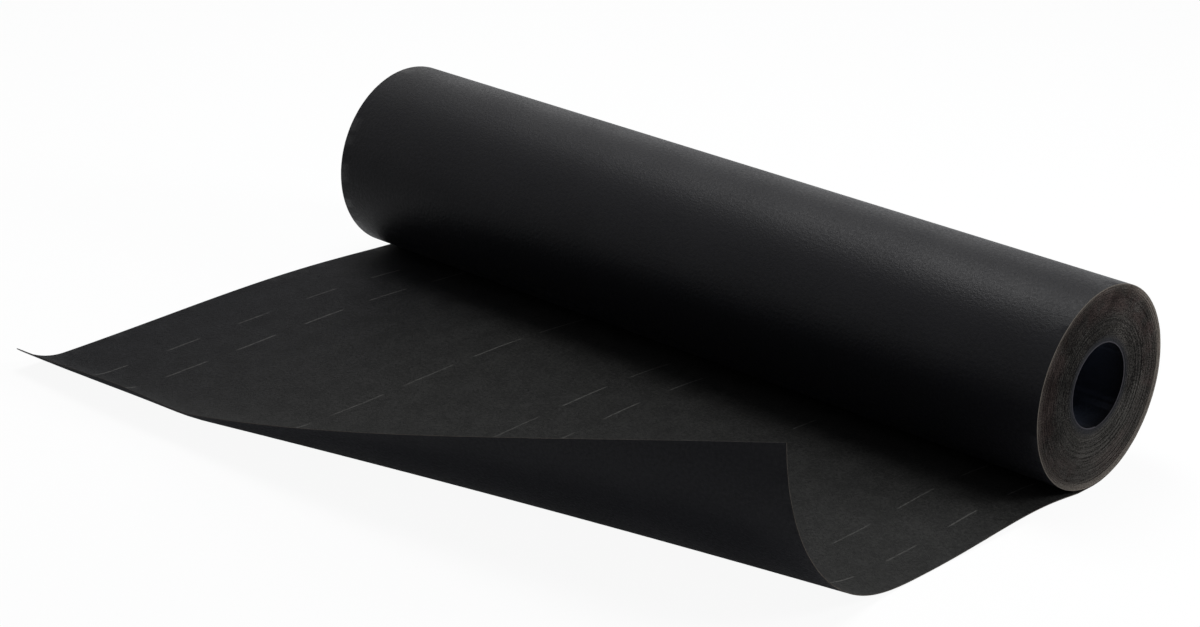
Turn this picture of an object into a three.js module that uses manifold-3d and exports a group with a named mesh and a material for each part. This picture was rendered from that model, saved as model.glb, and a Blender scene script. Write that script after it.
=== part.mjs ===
// A roll of roofing felt, lying on its side with the free end of the sheet paid out in front of it.
// The whole thing is one length of bitumen-saturated felt, so it is one solid: the wound roll with its bore,
// and the last half metre of the same sheet, which lies on the floor and curls up at one corner.
// Millimetres. The roll's axis runs along X, the sheet is paid out towards -Y, and +Z is up.
import * as THREE from "three";
import { mergeVertices } from "three/addons/utils/BufferGeometryUtils.js";
import Module from "manifold-3d";

// The sheet
const SHEET_WIDTH = 914.4; // the usual 36 inches
const SHEET_THICKNESS = 1.1;

// The roll
const ROLL_DIAMETER = 200;
const BORE_DIAMETER = 81; // the felt is wound on a mandrel that is drawn out, so there is no core
const BORE_SHIFT_Y = -3.2; // the outer turns have sagged a little, so the bore sits off the roll's middle,
const BORE_SHIFT_Z = 3.4; // forwards and upwards
const ROLL_FACETS = 64;

// The groove in each end that shows how the sheet is wound. One turn of it stands for several of the sheet.
const GROOVE_TURNS = 5;
const GROOVE_WIDTH = 2.4;
const GROOVE_DEPTH = 1.6;
const GROOVE_MARGIN = 3.5; // plain felt left at the bore and at the rim

// The paid-out end, measured along the sheet from the line where it leaves the roll
const TAIL_LENGTH_FAR = 537; // along the -X edge
const TAIL_LENGTH_NEAR = 548; // along the +X edge: the end was cut a little out of square
const TONGUE_LENGTH = 20; // the first stretch, which the roll holds flat on the floor
const TONGUE_OVERLAP = 6; // how far the rest is lapped into it, so that the two become one body

// The shallow hump between the roll and the place where the sheet touches the floor again
const HUMP_HEIGHT_FAR = 6.5;
const HUMP_HEIGHT_NEAR = 5.2;
const HUMP_END_FAR = 532;
const HUMP_END_NEAR = 252;
const HUMP_SKEW_FAR = 0.69; // under 1 moves the crest towards the roll
const HUMP_SKEW_NEAR = 0.62;

// The curl: the sheet bends up from a slanting line, so the near corner stands highest
const CURL_START = 254.5; // along the +X edge
const CURL_SLANT_NEAR = THREE.MathUtils.degToRad(11.1); // the line's slant at the +X edge
const CURL_SLANT_FAR = THREE.MathUtils.degToRad(16.4); // and at the -X edge
const CURL_RADIUS = 131.5;
const CURL_EASE = 84; // how much sheet the bend takes to tighten to that radius

// The far corner and the cut end beside it lift a little off the floor
const LIFT_HEIGHT = 18.8;
const LIFT_LENGTH = 58.5;
const LIFT_REACH = 266; // how far along the cut end from the far corner
const LIFT_FADE = 2.45; // over 1 keeps it at its full height for longer

const TAIL_COLUMNS = 24;
const TAIL_ROWS = 30;

const wasm = await Module();
wasm.setup();

function toSolid(geometry) {
  geometry.deleteAttribute("normal");
  geometry.deleteAttribute("uv");
  const merged = mergeVertices(geometry, 1e-4);
  return new wasm.Manifold(
    new wasm.Mesh({
      numProp: 3,
      vertProperties: merged.attributes.position.array,
      triVerts: new Uint32Array(merged.index.array),
    }),
  );
}

function toGeometry(solid) {
  const mesh = solid.getMesh();
  return new THREE.BufferGeometry()
    .setAttribute("position", new THREE.BufferAttribute(mesh.vertProperties, 3))
    .setIndex(new THREE.BufferAttribute(mesh.triVerts, 1));
}

// A closed body from rings of points: each ring has the same number of points, and the two ends are capped.
function loft(rings, cap) {
  const count = rings[0].length;
  const index = [];
  for (let i = 0; i + 1 < rings.length; i++) {
    for (let j = 0; j < count; j++) {
      const a = i * count + j;
      const b = i * count + ((j + 1) % count);
      index.push(a, b + count, b, a, a + count, b + count);
    }
  }
  const last = (rings.length - 1) * count;
  for (const [a, b, c] of cap) index.push(a, b, c, last + a, last + c, last + b);
  return new THREE.BufferGeometry().setFromPoints(rings.flat()).setIndex(index);
}

// ---- The wound roll ----

const rollRadius = ROLL_DIAMETER / 2;
const boreRadius = BORE_DIAMETER / 2;

// A point of the winding in the plane across the axis. The turn angle grows from the bottom of the roll,
// up the back and over the top, the way the sheet is wound in. inwards is 0 at the rim and 1 at the bore.
function windingPoint(radius, turn, inwards) {
  return new THREE.Vector2(
    radius * Math.sin(turn * 2 * Math.PI) + BORE_SHIFT_Y * inwards,
    rollRadius - radius * Math.cos(turn * 2 * Math.PI) + BORE_SHIFT_Z * inwards,
  );
}

// Each turn lies one thickness inside the one before it, so the outline steps in by one thickness where the
// sheet leaves the roll, and the bore steps by the same amount at the sheet's inner end.
function rollSection() {
  const turns = Array.from({ length: ROLL_FACETS + 1 }, (_, i) => i / ROLL_FACETS);
  const outline = turns.map((turn) => windingPoint(rollRadius - SHEET_THICKNESS * turn, turn, 0));
  outline.push(
    new THREE.Vector2(-TONGUE_LENGTH, SHEET_THICKNESS),
    new THREE.Vector2(-TONGUE_LENGTH, 0),
  );
  const section = new THREE.Shape(outline);
  const bore = turns.map((turn) => windingPoint(boreRadius + SHEET_THICKNESS * (1 - turn), turn, 1));
  section.holes.push(new THREE.Path(bore));
  return section;
}

function rollBody() {
  const body = new THREE.ExtrudeGeometry(rollSection(), {
    depth: SHEET_WIDTH,
    bevelEnabled: false,
    curveSegments: 1,
  });
  // the section's two axes become Y and Z, and it is drawn out along X
  body.applyMatrix4(
    new THREE.Matrix4().makeBasis(
      new THREE.Vector3(0, 1, 0),
      new THREE.Vector3(0, 0, 1),
      new THREE.Vector3(1, 0, 0),
    ),
  );
  body.translate(-SHEET_WIDTH / 2, 0, 0);
  return toSolid(body);
}

// The cutter for one end's groove: a V that follows a spiral from the bore to the rim. side is +1 or -1.
function grooveCutter(side) {
  const first = boreRadius + GROOVE_MARGIN;
  const last = rollRadius - GROOVE_MARGIN;
  const clear = GROOVE_DEPTH / 2; // how far the cutter stands out of the end
  const halfMouth = ((GROOVE_WIDTH / 2) * (GROOVE_DEPTH + clear)) / GROOVE_DEPTH;
  const steps = GROOVE_TURNS * ROLL_FACETS;
  const rings = [];
  for (let i = 0; i <= steps; i++) {
    const turn = i / ROLL_FACETS;
    const radius = first + ((last - first) * i) / steps;
    const corners = [
      [radius - halfMouth, clear],
      [radius, -GROOVE_DEPTH],
      [radius + halfMouth, clear],
    ];
    if (side < 0) corners.reverse();
    rings.push(
      corners.map(([r, out]) => {
        const point = windingPoint(r, turn, 1 - i / steps);
        return new THREE.Vector3(side * (SHEET_WIDTH / 2 + out), point.x, point.y);
      }),
    );
  }
  return toSolid(loft(rings, [[0, 1, 2]]));
}

// ---- The paid-out end of the sheet ----

// A size that changes evenly from the far edge of the sheet, across = -1, to the near edge, across = +1.
const between = (far, near, across) => far + ((near - far) * (across + 1)) / 2;

// How high the hump lifts the sheet, s millimetres along it.
function humpHeight(across, s) {
  const end = between(HUMP_END_FAR, HUMP_END_NEAR, across);
  const at = (s - TONGUE_LENGTH) / (end - TONGUE_LENGTH);
  if (at <= 0 || at >= 1) return 0;
  const crest = Math.sin(Math.PI * at ** between(HUMP_SKEW_FAR, HUMP_SKEW_NEAR, across));
  return between(HUMP_HEIGHT_FAR, HUMP_HEIGHT_NEAR, across) * crest ** 2;
}

// How high the far corner lifts. It fades out along the cut end towards the middle of the sheet.
function cornerLift(across, toCutEnd) {
  const lifted = Math.max(0, 1 - toCutEnd / LIFT_LENGTH);
  const fromCorner = THREE.MathUtils.clamp((((across + 1) / 2) * SHEET_WIDTH) / LIFT_REACH, 0, 1);
  const left = (1 + Math.cos(Math.PI * fromCorner ** LIFT_FADE)) / 2;
  return LIFT_HEIGHT * lifted ** 2 * left;
}

// The bend's section: how far forward and how high a point lies after that length of bent sheet.
// The curvature grows evenly over CURL_EASE and then stays at 1 / CURL_RADIUS.
function curl(length) {
  const steps = 24;
  const step = length / steps;
  const at = { forward: 0, height: 0 };
  for (let i = 0; i < steps; i++) {
    const s = (i + 0.5) * step;
    const eased = Math.min(s, CURL_EASE);
    const angle = (eased * eased) / (2 * CURL_EASE * CURL_RADIUS) + (s - eased) / CURL_RADIUS;
    at.forward += Math.cos(angle) * step;
    at.height += Math.sin(angle) * step;
  }
  return at;
}

// Moves a point of the flat sheet to its place in the curl. The bend starts along a line whose slant changes
// evenly across the sheet, and the sheet bends square to that line.
function bendUp(point, s) {
  const fromNear = SHEET_WIDTH / 2 - point.x;
  const slopeNear = Math.tan(CURL_SLANT_NEAR);
  const slopeGain = (Math.tan(CURL_SLANT_FAR) - slopeNear) / SHEET_WIDTH;
  const start = CURL_START + slopeNear * fromNear + (slopeGain * fromNear ** 2) / 2;
  const slant = Math.atan(slopeNear + slopeGain * fromNear);
  const bent = (s - start) * Math.cos(slant);
  if (bent <= 0) return;
  const at = curl(bent);
  point.x -= Math.sin(slant) * (bent - at.forward);
  point.y += Math.cos(slant) * (bent - at.forward);
  point.z += at.height;
}

// The underside of the paid-out end. along runs from 0 at the tip of the tongue to 1 at the cut end.
function undersidePoint(across, along) {
  const length = between(TAIL_LENGTH_FAR, TAIL_LENGTH_NEAR, across);
  const s = TONGUE_LENGTH + (length - TONGUE_LENGTH) * along;
  const rise = humpHeight(across, s) + cornerLift(across, length - s);
  const point = new THREE.Vector3((across * SHEET_WIDTH) / 2, -s, rise);
  bendUp(point, s);
  return point;
}

// The face that shows, one thickness above the underside and square to it.
function upperPoint(across, along) {
  const low = undersidePoint(across, along);
  if (along <= 0) return low.add(new THREE.Vector3(0, 0, SHEET_THICKNESS));
  const nudge = 1e-3;
  const toNear = undersidePoint(across + nudge, along).sub(undersidePoint(across - nudge, along));
  const toEnd = undersidePoint(across, along + nudge).sub(undersidePoint(across, along - nudge));
  return low.addScaledVector(toEnd.cross(toNear).normalize(), SHEET_THICKNESS);
}

function tailBody() {
  const columns = Array.from({ length: TAIL_COLUMNS + 1 }, (_, i) => -1 + (2 * i) / TAIL_COLUMNS);
  const rings = [];
  for (let row = 0; row <= TAIL_ROWS; row++) {
    const upper = columns.map((across) => upperPoint(across, row / TAIL_ROWS));
    const under = columns.map((across) => undersidePoint(across, row / TAIL_ROWS)).reverse();
    rings.push([...upper, ...under]);
  }
  const lapped = rings[0].map((point) => point.clone().setY(TONGUE_OVERLAP - TONGUE_LENGTH));
  rings.unshift(lapped);
  const across = 2 * TAIL_COLUMNS + 2;
  const cap = [];
  for (let i = 0; i < TAIL_COLUMNS; i++) {
    const below = across - 1 - i;
    cap.push([i, i + 1, below - 1], [i, below - 1, below]);
  }
  return toSolid(loft(rings, cap));
}

// ---- The part ----

function feltSolid() {
  return rollBody().add(tailBody()).subtract(grooveCutter(1)).subtract(grooveCutter(-1));
}

const felt = new THREE.MeshStandardMaterial({ color: 0x1c1c1d, roughness: 0.8, metalness: 0 });
const feltRoll = new THREE.Mesh(toGeometry(feltSolid()), felt);
feltRoll.name = "felt_roll";

// The origin is the middle of the part's footprint, on the floor.
const reach = new THREE.Box3().setFromObject(feltRoll);
const middle = reach.getCenter(new THREE.Vector3());
feltRoll.position.set(-middle.x, -middle.y, -reach.min.z);

const part = new THREE.Group();
part.add(feltRoll);

export default part;
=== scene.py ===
# %% [markdown]
# # A roll of roofing felt, from its open bore to its cut end
#
# Roofing felt is fibre board rolled thin and soaked in bitumen. A mill winds it straight onto a
# mandrel, draws the mandrel out and sells the roll with an open bore. Here the last half metre has been
# pulled off the roll and lies on the floor, where it still wants to curl.
#
# The roll and the stretch on the floor are one sheet, so this lesson makes them as one mesh: a thin
# strip with a real thickness, which starts in the bore, winds outwards and runs on over the floor to
# its cut end.

# %% Load the fixed frame
import math
import random

import bpy
from mathutils import Matrix, Vector, noise


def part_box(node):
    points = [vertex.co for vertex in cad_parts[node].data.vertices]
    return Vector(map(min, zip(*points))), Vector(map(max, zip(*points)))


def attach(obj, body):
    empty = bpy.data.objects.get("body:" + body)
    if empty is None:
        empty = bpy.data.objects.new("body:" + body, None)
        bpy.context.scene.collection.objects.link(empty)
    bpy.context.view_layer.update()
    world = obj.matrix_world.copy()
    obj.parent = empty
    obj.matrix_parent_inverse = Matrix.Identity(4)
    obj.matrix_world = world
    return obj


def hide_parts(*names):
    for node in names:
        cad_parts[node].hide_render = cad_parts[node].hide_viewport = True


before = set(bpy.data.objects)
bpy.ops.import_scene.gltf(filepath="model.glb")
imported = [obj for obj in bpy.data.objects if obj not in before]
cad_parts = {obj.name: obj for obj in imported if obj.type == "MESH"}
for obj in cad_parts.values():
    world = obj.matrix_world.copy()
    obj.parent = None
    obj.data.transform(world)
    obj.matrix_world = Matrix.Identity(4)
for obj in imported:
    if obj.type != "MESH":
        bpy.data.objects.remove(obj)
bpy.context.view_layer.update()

felt_low, felt_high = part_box("felt_roll")
print("frame:", sorted(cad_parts), "from", tuple(felt_low), "to", tuple(felt_high))

# %% [markdown]
# ## The camera
#
# A long lens from about three metres away keeps the far end of the roll nearly as big as the near one.
# A camera looks down its own -Z axis with +X to the right, so its three axes come from two angles and
# are then turned a little about the line of sight.

# %% Place the camera
CAMERA_PLACE = Vector((1.83017, -1.98515, 1.17912))
CAMERA_AZIMUTH = math.radians(42.13)
CAMERA_ELEVATION = math.radians(21.722)
CAMERA_ROLL = math.radians(1.466)
LENS_MM = 90.73
SENSOR_MM = 36.0


def camera_turn(azimuth, elevation, roll):
    """The camera's rotation: it looks at the roll from that side and height, and leans by roll."""
    towards_camera = Vector((
        math.sin(azimuth) * math.cos(elevation),
        -math.cos(azimuth) * math.cos(elevation),
        math.sin(elevation),
    ))
    level_right = Vector((0, 0, 1)).cross(towards_camera).normalized()
    level_up = towards_camera.cross(level_right)
    right = math.cos(roll) * level_right + math.sin(roll) * level_up
    up = math.cos(roll) * level_up - math.sin(roll) * level_right
    return Matrix((right, up, towards_camera)).transposed()


camera_data = bpy.data.cameras.new("camera")
camera_data.lens = LENS_MM
camera_data.sensor_width = SENSOR_MM
camera = bpy.data.objects.new("camera", camera_data)
turned = camera_turn(CAMERA_AZIMUTH, CAMERA_ELEVATION, CAMERA_ROLL)
camera.matrix_world = Matrix.Translation(CAMERA_PLACE) @ turned.to_4x4()
bpy.context.scene.collection.objects.link(camera)
bpy.context.scene.camera = camera
print("camera:", round(CAMERA_PLACE.length, 3), "m from the origin, lens", LENS_MM, "mm")

# %% [markdown]
# ## The sizes that drive the sheet
#
# The frame's box already says how wide the sheet is, how big the roll is and where its axis lies, so
# those are worked out from it and not typed again. The winding steps in by one pitch each turn. The
# felt itself is a hair thinner than that pitch, which leaves the thin line of air that shows between
# two turns.

# %% Sizes of the sheet and the roll
TURN_PITCH = 0.0011
FELT_THICKNESS = 0.00096
BORE_RADIUS = 0.0405
BORE_SHIFT_Y = -0.0032      # the outer turns have sagged, so the bore sits forwards of the roll's middle
BORE_SHIFT_Z = 0.0034       # and above it

SHEET_WIDTH = felt_high.x - felt_low.x
HALF_WIDTH = SHEET_WIDTH / 2
MIDDLE_X = (felt_high.x + felt_low.x) / 2
ROLL_RADIUS = (felt_high.z + TURN_PITCH / 2) / 2
AXIS_Y = felt_high.y - (ROLL_RADIUS - TURN_PITCH / 4)
TURNS = int((ROLL_RADIUS - BORE_RADIUS - FELT_THICKNESS) / TURN_PITCH)


def length_wound(turn):
    """How much sheet lies between the roll's lowest line and a point that many turns into the roll."""
    return 2 * math.pi * (ROLL_RADIUS * turn - TURN_PITCH * turn * turn / 2)


print("roll:", round(2 * ROLL_RADIUS, 4), "m across,", TURNS, "turns")
print("wound up:", round(length_wound(TURNS), 2), "m of sheet")

# %% [markdown]
# ## Where a point of the wound sheet lies
#
# A roll wound by a machine isn't perfect. Each turn lands a little to one side of the last, so the ends
# show fine ridges, and here and there a turn lies a little looser. Smooth noise along the sheet gives
# both. The same shift is used for both edges, because the sheet keeps its width: what stands proud at
# one end is drawn in at the other. The outermost turn runs straight into the stretch on the floor, so
# there both fade out.

# %% How the winding wanders
DRIFT_SLOW = 0.0007         # sideways wander over many turns
DRIFT_QUICK = 0.0005        # and from one turn to the next
SLACK = 0.00003             # in and out
SLOW_PER_TURN = 0.13        # how fast each of the three changes
QUICK_PER_TURN = 1.9
SLACK_PER_TURN = 2.3
SLOW_ROW = 3.1              # and a row of the noise for each, so that none follows another
QUICK_ROW = 7.7
SLACK_ROW = 12.4
SETTLED_TURNS = 1.2         # by here the wander is at full size


def wave(turn, per_turn, row):
    """Smooth noise between -1 and 1 that changes from turn to turn."""
    return noise.noise(Vector((per_turn * turn, row, 0)))


def settled(turn):
    """0 on the outermost sheet and 1 from SETTLED_TURNS inwards, with a smooth start."""
    share = min(1.0, turn / SETTLED_TURNS)
    return share * share * (3 - 2 * share)


def drift(turn):
    """How far the sheet has wandered sideways, turn turns into the roll."""
    slow = DRIFT_SLOW * wave(turn, SLOW_PER_TURN, SLOW_ROW)
    quick = DRIFT_QUICK * wave(turn, QUICK_PER_TURN, QUICK_ROW)
    return settled(turn) * (slow + quick)


def slack(turn):
    """How much further out the sheet lies than a tight winding would put it."""
    return settled(turn) * SLACK * wave(turn, SLACK_PER_TURN, SLACK_ROW)


furthest = max(abs(drift(eighth / 8)) for eighth in range(8 * TURNS))
print("a turn wanders sideways by up to", round(furthest * 1000, 2), "mm")

# %% A point of the winding
SAG_FREE_TURNS = 1.0        # the sag starts under the outermost turn


def wound_point(turn, across, depth):
    """A point turn turns into the roll. depth is how far in it lies from the sheet's outer face."""
    radius = ROLL_RADIUS - TURN_PITCH * turn - depth + slack(turn)
    angle = 2 * math.pi * turn
    inwards = max(0.0, turn - SAG_FREE_TURNS) / (TURNS - SAG_FREE_TURNS)
    return Vector((
        MIDDLE_X + across * HALF_WIDTH + drift(turn),
        AXIS_Y + BORE_SHIFT_Y * inwards + radius * math.sin(angle),
        ROLL_RADIUS + BORE_SHIFT_Z * inwards - radius * math.cos(angle),
    ))


inner_end_point = wound_point(TURNS, 0, FELT_THICKNESS)
print("in the bore the sheet ends", round(inner_end_point.z * 1000), "mm above the floor")

# %% [markdown]
# ## Where a point of the paid-out sheet lies
#
# Felt that has been wound for months won't lie flat. Past the strip that the roll holds down it rises
# in a shallow hump, touches the floor again, and bends up from a slanting line towards its near corner.
# The far corner lifts too. None of this stretches the sheet, so each form is written as a function of
# the distance along it: the bend turns a length of flat sheet into the same length of curve, whose
# curvature grows evenly and then holds, as a springy sheet's does.

# %% The hump and the lifted corner
TAIL_LENGTH_FAR = 0.537     # along the edge at -X
TAIL_LENGTH_NEAR = 0.548    # along the edge at +X: the end was cut a little out of square
TONGUE_LENGTH = 0.020       # the strip that the roll holds flat
HUMP_HEIGHT_FAR = 0.0065
HUMP_HEIGHT_NEAR = 0.0052
HUMP_END_FAR = 0.532
HUMP_END_NEAR = 0.252
HUMP_SKEW_FAR = 0.69        # under 1 moves the crest towards the roll
HUMP_SKEW_NEAR = 0.62
LIFT_HEIGHT = 0.0188
LIFT_LENGTH = 0.0585
LIFT_REACH = 0.266          # how far along the cut end from the far corner
LIFT_FADE = 2.45            # over 1 keeps it at its full height for longer


def between(far, near, across):
    """A size that changes evenly from the far edge, across = -1, to the near edge, across = 1."""
    return far + (near - far) * (across + 1) / 2


def hump_height(across, s):
    """How high the hump carries the sheet at s metres from the roll's lowest line."""
    end = between(HUMP_END_FAR, HUMP_END_NEAR, across)
    share = (s - TONGUE_LENGTH) / (end - TONGUE_LENGTH)
    if not 0 < share < 1:
        return 0.0
    crest = math.sin(math.pi * share ** between(HUMP_SKEW_FAR, HUMP_SKEW_NEAR, across))
    return between(HUMP_HEIGHT_FAR, HUMP_HEIGHT_NEAR, across) * crest * crest


def corner_lift(across, to_cut_end):
    """How high the far corner lifts. It fades out along the cut end towards the middle."""
    lifted = max(0.0, 1 - to_cut_end / LIFT_LENGTH)
    from_corner = min(1.0, max(0.0, (across + 1) / 2 * SHEET_WIDTH / LIFT_REACH))
    left = (1 + math.cos(math.pi * from_corner ** LIFT_FADE)) / 2
    return LIFT_HEIGHT * lifted * lifted * left


along_edge = [TAIL_LENGTH_NEAR * percent / 100 for percent in range(100)]
crest = max(hump_height(1, s) for s in along_edge)
print("at the near edge the hump rises", round(crest * 1000, 1), "mm")

# %% The curl of the near corner
CURL_START = 0.2545         # along the edge at +X
CURL_SLANT_NEAR = math.radians(11.1)
CURL_SLANT_FAR = math.radians(16.4)
CURL_RADIUS = 0.1315
CURL_EASE = 0.084           # how much sheet the bend takes to tighten to that radius
CURL_STEPS = 24


def curl(length):
    """How far forward and how high the sheet has gone after that length of bend."""
    step = length / CURL_STEPS
    forward = height = 0.0
    for i in range(CURL_STEPS):
        s = (i + 0.5) * step
        eased = min(s, CURL_EASE)
        angle = eased * eased / (2 * CURL_EASE * CURL_RADIUS) + (s - eased) / CURL_RADIUS
        forward += math.cos(angle) * step
        height += math.sin(angle) * step
    return forward, height


def bend_up(point, s):
    """Moves a point of the flat sheet into the curl, square to the slanting line where it starts."""
    from_near = HALF_WIDTH - point.x
    slope_near = math.tan(CURL_SLANT_NEAR)
    slope_gain = (math.tan(CURL_SLANT_FAR) - slope_near) / SHEET_WIDTH
    start = CURL_START + slope_near * from_near + slope_gain * from_near * from_near / 2
    slant = math.atan(slope_near + slope_gain * from_near)
    bent = (s - start) * math.cos(slant)
    if bent > 0:
        forward, height = curl(bent)
        point.x -= math.sin(slant) * (bent - forward)
        point.y += math.cos(slant) * (bent - forward)
        point.z += height


turned_by = math.degrees(CURL_EASE / (2 * CURL_RADIUS))
print("the bend tightens over its first", round(turned_by), "degrees and then holds")

# %% A point of the paid-out sheet
def underside_point(share, across):
    """The sheet's outer face at that share of the paid-out length."""
    length = between(TAIL_LENGTH_FAR, TAIL_LENGTH_NEAR, across)
    s = share * length
    point = Vector((across * HALF_WIDTH, -s, 0.0))
    point.z = hump_height(across, s) + corner_lift(across, length - s)
    bend_up(point, s)
    return point + Vector((MIDDLE_X, AXIS_Y, 0))


def paid_out_point(share, across, depth):
    """The same, depth metres in from the outer face and square to it."""
    nudge = 1e-3
    point = underside_point(share, across)
    if depth == 0:
        return point
    to_near = underside_point(share, across + nudge) - underside_point(share, across - nudge)
    to_end = underside_point(share + nudge, across) - underside_point(share - nudge, across)
    return point + depth * to_end.cross(to_near).normalized()


near_corner = underside_point(1, 1)
print("the near corner stands", round(near_corner.z * 1000), "mm high")

# %% [markdown]
# ## The strip's section, ring by ring
#
# The mesh is a tube of rings. Each ring runs round the sheet's section: along the outer face, over the
# near edge, back along the inner face and over the far edge. A guillotine leaves no knife edge on felt,
# so the corners get a small bevel. Inside the roll only the edges can be seen, so there one column
# across the sheet is enough. The outermost turn and the stretch on the floor get many.

# %% One ring
OUTER, INNER, EDGE = 0, 1, 2        # the three finishes: each is a material slot later on
BEVEL = 0.0002
BEVEL_SHARE = BEVEL / FELT_THICKNESS
RIM = 1 - BEVEL / HALF_WIDTH


def section(columns):
    """The points round the section, as places across the sheet and shares of its thickness: columns + 1
    on the outer face, 2 on the near edge, columns + 1 on the inner face and 2 on the far edge."""
    across = [RIM * (2 * i / columns - 1) for i in range(columns + 1)]
    outer = [(a, 0.0) for a in across]
    inner = [(a, 1.0) for a in reversed(across)]
    near = [(1.0, BEVEL_SHARE), (1.0, 1 - BEVEL_SHARE)]
    far = [(-1.0, 1 - BEVEL_SHARE), (-1.0, BEVEL_SHARE)]
    return outer + near + inner + far


def ring_finishes(columns):
    """The finish of each stretch between two points of such a ring."""
    return [OUTER] * columns + [EDGE] * 3 + [INNER] * columns + [EDGE] * 3


print("a ring of one column has", len(section(1)), "points")

# %% Any point of the sheet
FRAY = 0.00008
FRAY_SEED = 11
fray_draw = random.Random(FRAY_SEED)


def fray():
    """A cut through fibre is never quite straight: a small random step at the edge."""
    return fray_draw.uniform(-FRAY, FRAY)


def sheet_point(station, across, depth):
    """A point of the whole sheet. A station below 0 counts turns into the roll, and one above 0 is the
    share of the paid-out length."""
    if station <= 0:
        return wound_point(-station, across, depth)
    return paid_out_point(station, across, depth)


def distance_along(station, across):
    """Metres along the sheet from the roll's lowest line, less than 0 inside the roll."""
    if station <= 0:
        return -length_wound(-station)
    return station * between(TAIL_LENGTH_FAR, TAIL_LENGTH_NEAR, across)


whole_length = distance_along(1, 0) - distance_along(-TURNS, 0)
print("the whole sheet is", round(whole_length, 2), "m long")

# %% Lay the rings
STEPS_PER_TURN = 120
COLUMNS = 60
FINE_TURNS = 1.05           # the outermost turn, and a little that lies under the next one
TAIL_ROWS = 110
END_SQUEEZE = 0.6           # the last ring at each end is this share of the thickness, as a bevel

coarse_rows = round((TURNS - FINE_TURNS) * STEPS_PER_TURN)
fine_rows = round(FINE_TURNS * STEPS_PER_TURN)
inner_end = -TURNS
coarse_stations = [inner_end + i / STEPS_PER_TURN for i in range(coarse_rows)]
fine_stations = [-(fine_rows - i) / STEPS_PER_TURN for i in range(fine_rows)]
tail_stations = [i / TAIL_ROWS for i in range(TAIL_ROWS + 1)]

points = []
flat_places = []            # the same points on the flat sheet: across it, along it, and the turn
depth_shares = []           # and how far in each lies from the outer face, as a share of the thickness


def add_ring(station, columns, squeeze=1.0):
    """Adds one ring of points and returns their numbers."""
    first = len(points)
    for across, share in section(columns):
        depth = FELT_THICKNESS * (0.5 + squeeze * (share - 0.5))
        point = sheet_point(station, across, depth)
        if abs(across) == 1:
            point.x += fray()
        points.append(point)
        along = distance_along(station, across)
        flat_places.append((across * HALF_WIDTH, along, max(0.0, -station)))
        depth_shares.append(share)
    return list(range(first, len(points)))


end_bevel_turn = BEVEL / (2 * math.pi * BORE_RADIUS)
end_bevel_share = BEVEL / TAIL_LENGTH_NEAR
coarse_rings = [add_ring(inner_end - end_bevel_turn, 1, END_SQUEEZE)]
coarse_rings += [add_ring(station, 1) for station in coarse_stations]
fine_rings = [add_ring(station, COLUMNS) for station in fine_stations + tail_stations[:-1]]
fine_rings.append(add_ring(1 - end_bevel_share, COLUMNS))
fine_rings.append(add_ring(1, COLUMNS, END_SQUEEZE))
print(len(coarse_rings), "rings inside the roll,", len(fine_rings), "outside it,", len(points), "points")

# %% [markdown]
# ## Join the rings
#
# Two like rings are joined by a band of quads. Where the fine part starts, under the outermost turn, each
# face goes from one column to many through a fan of triangles, which never shows. Each end is closed by a
# strip of quads between its two faces.

# %% Skin the rings
faces = []
finishes = []
cut_faces = set()           # the numbers of the faces that close the strip's two ends


def add_face(corners, finish):
    """Adds one face."""
    faces.append(tuple(corners))
    finishes.append(finish)


def band(first, second, columns):
    """Quads between two rings of the same kind."""
    count = len(first)
    for i, finish in enumerate(ring_finishes(columns)):
        after = (i + 1) % count
        add_face((first[i], first[after], second[after], second[i]), finish)


print("between two rings of one column lie", len(ring_finishes(1)), "quads")

# %% Where the columns change, and the ends
def fan(pair, row, finish):
    """Triangles from a pair of points to a row of many."""
    half = (len(row) - 1) // 2
    for i in range(len(row) - 1):
        apex = pair[0] if i < half else pair[1]
        add_face((apex, row[i + 1], row[i]), finish)
    add_face((pair[0], pair[1], row[half]), finish)


def step_up(coarse, fine, columns):
    """From a ring of one column to a ring of many."""
    fan(coarse[0:2], fine[0:columns + 1], OUTER)
    fan(coarse[4:6], fine[columns + 3:2 * columns + 4], INNER)
    near_pairs = list(zip(coarse[1:5], fine[columns:columns + 4]))
    far_pairs = list(zip(coarse[5:] + coarse[:1], fine[2 * columns + 3:] + fine[:1]))
    for pairs in (near_pairs, far_pairs):
        for (a, b), (c, d) in zip(pairs, pairs[1:]):
            add_face((a, c, d, b), EDGE)


def close_end(ring, columns, facing, finish):
    """The cut across the sheet. facing is 1 at the start of the strip and -1 at its end."""
    count = len(ring)
    loop = [[ring[i], ring[i + 1], ring[count - 4 - i], ring[count - 3 - i]] for i in range(columns)]
    loop.append(ring[columns:columns + 4])
    loop.append(ring[count - 3:] + ring[:1])
    for corners in loop:
        cut_faces.add(len(faces))
        add_face(reversed(corners) if facing > 0 else corners, finish)


print("the cut end takes", COLUMNS + 2, "quads")

# %% Join them all
for first, second in zip(coarse_rings, coarse_rings[1:]):
    band(first, second, 1)
step_up(coarse_rings[-1], fine_rings[0], COLUMNS)
for first, second in zip(fine_rings, fine_rings[1:]):
    band(first, second, COLUMNS)
close_end(coarse_rings[0], 1, 1, INNER)
close_end(fine_rings[-1], COLUMNS, -1, EDGE)
triangle_count = sum(len(face) - 2 for face in faces)
print(len(faces), "faces,", triangle_count, "triangles")

# %% [markdown]
# ## The mesh, and the flat sheet's own places
#
# Felt gets its mottle, its fibres and its lines while it is still a flat web in the mill. So the mesh
# keeps, for every point, where that point lies on the flat sheet: how far across, how far along, and
# how many turns into the roll. The finishes read these three numbers instead of the room's, and each
# pattern then bends with the sheet and runs from the roll onto the floor without a break.

# %% Make the mesh
SHARP_ANGLE = math.radians(40)

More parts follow.
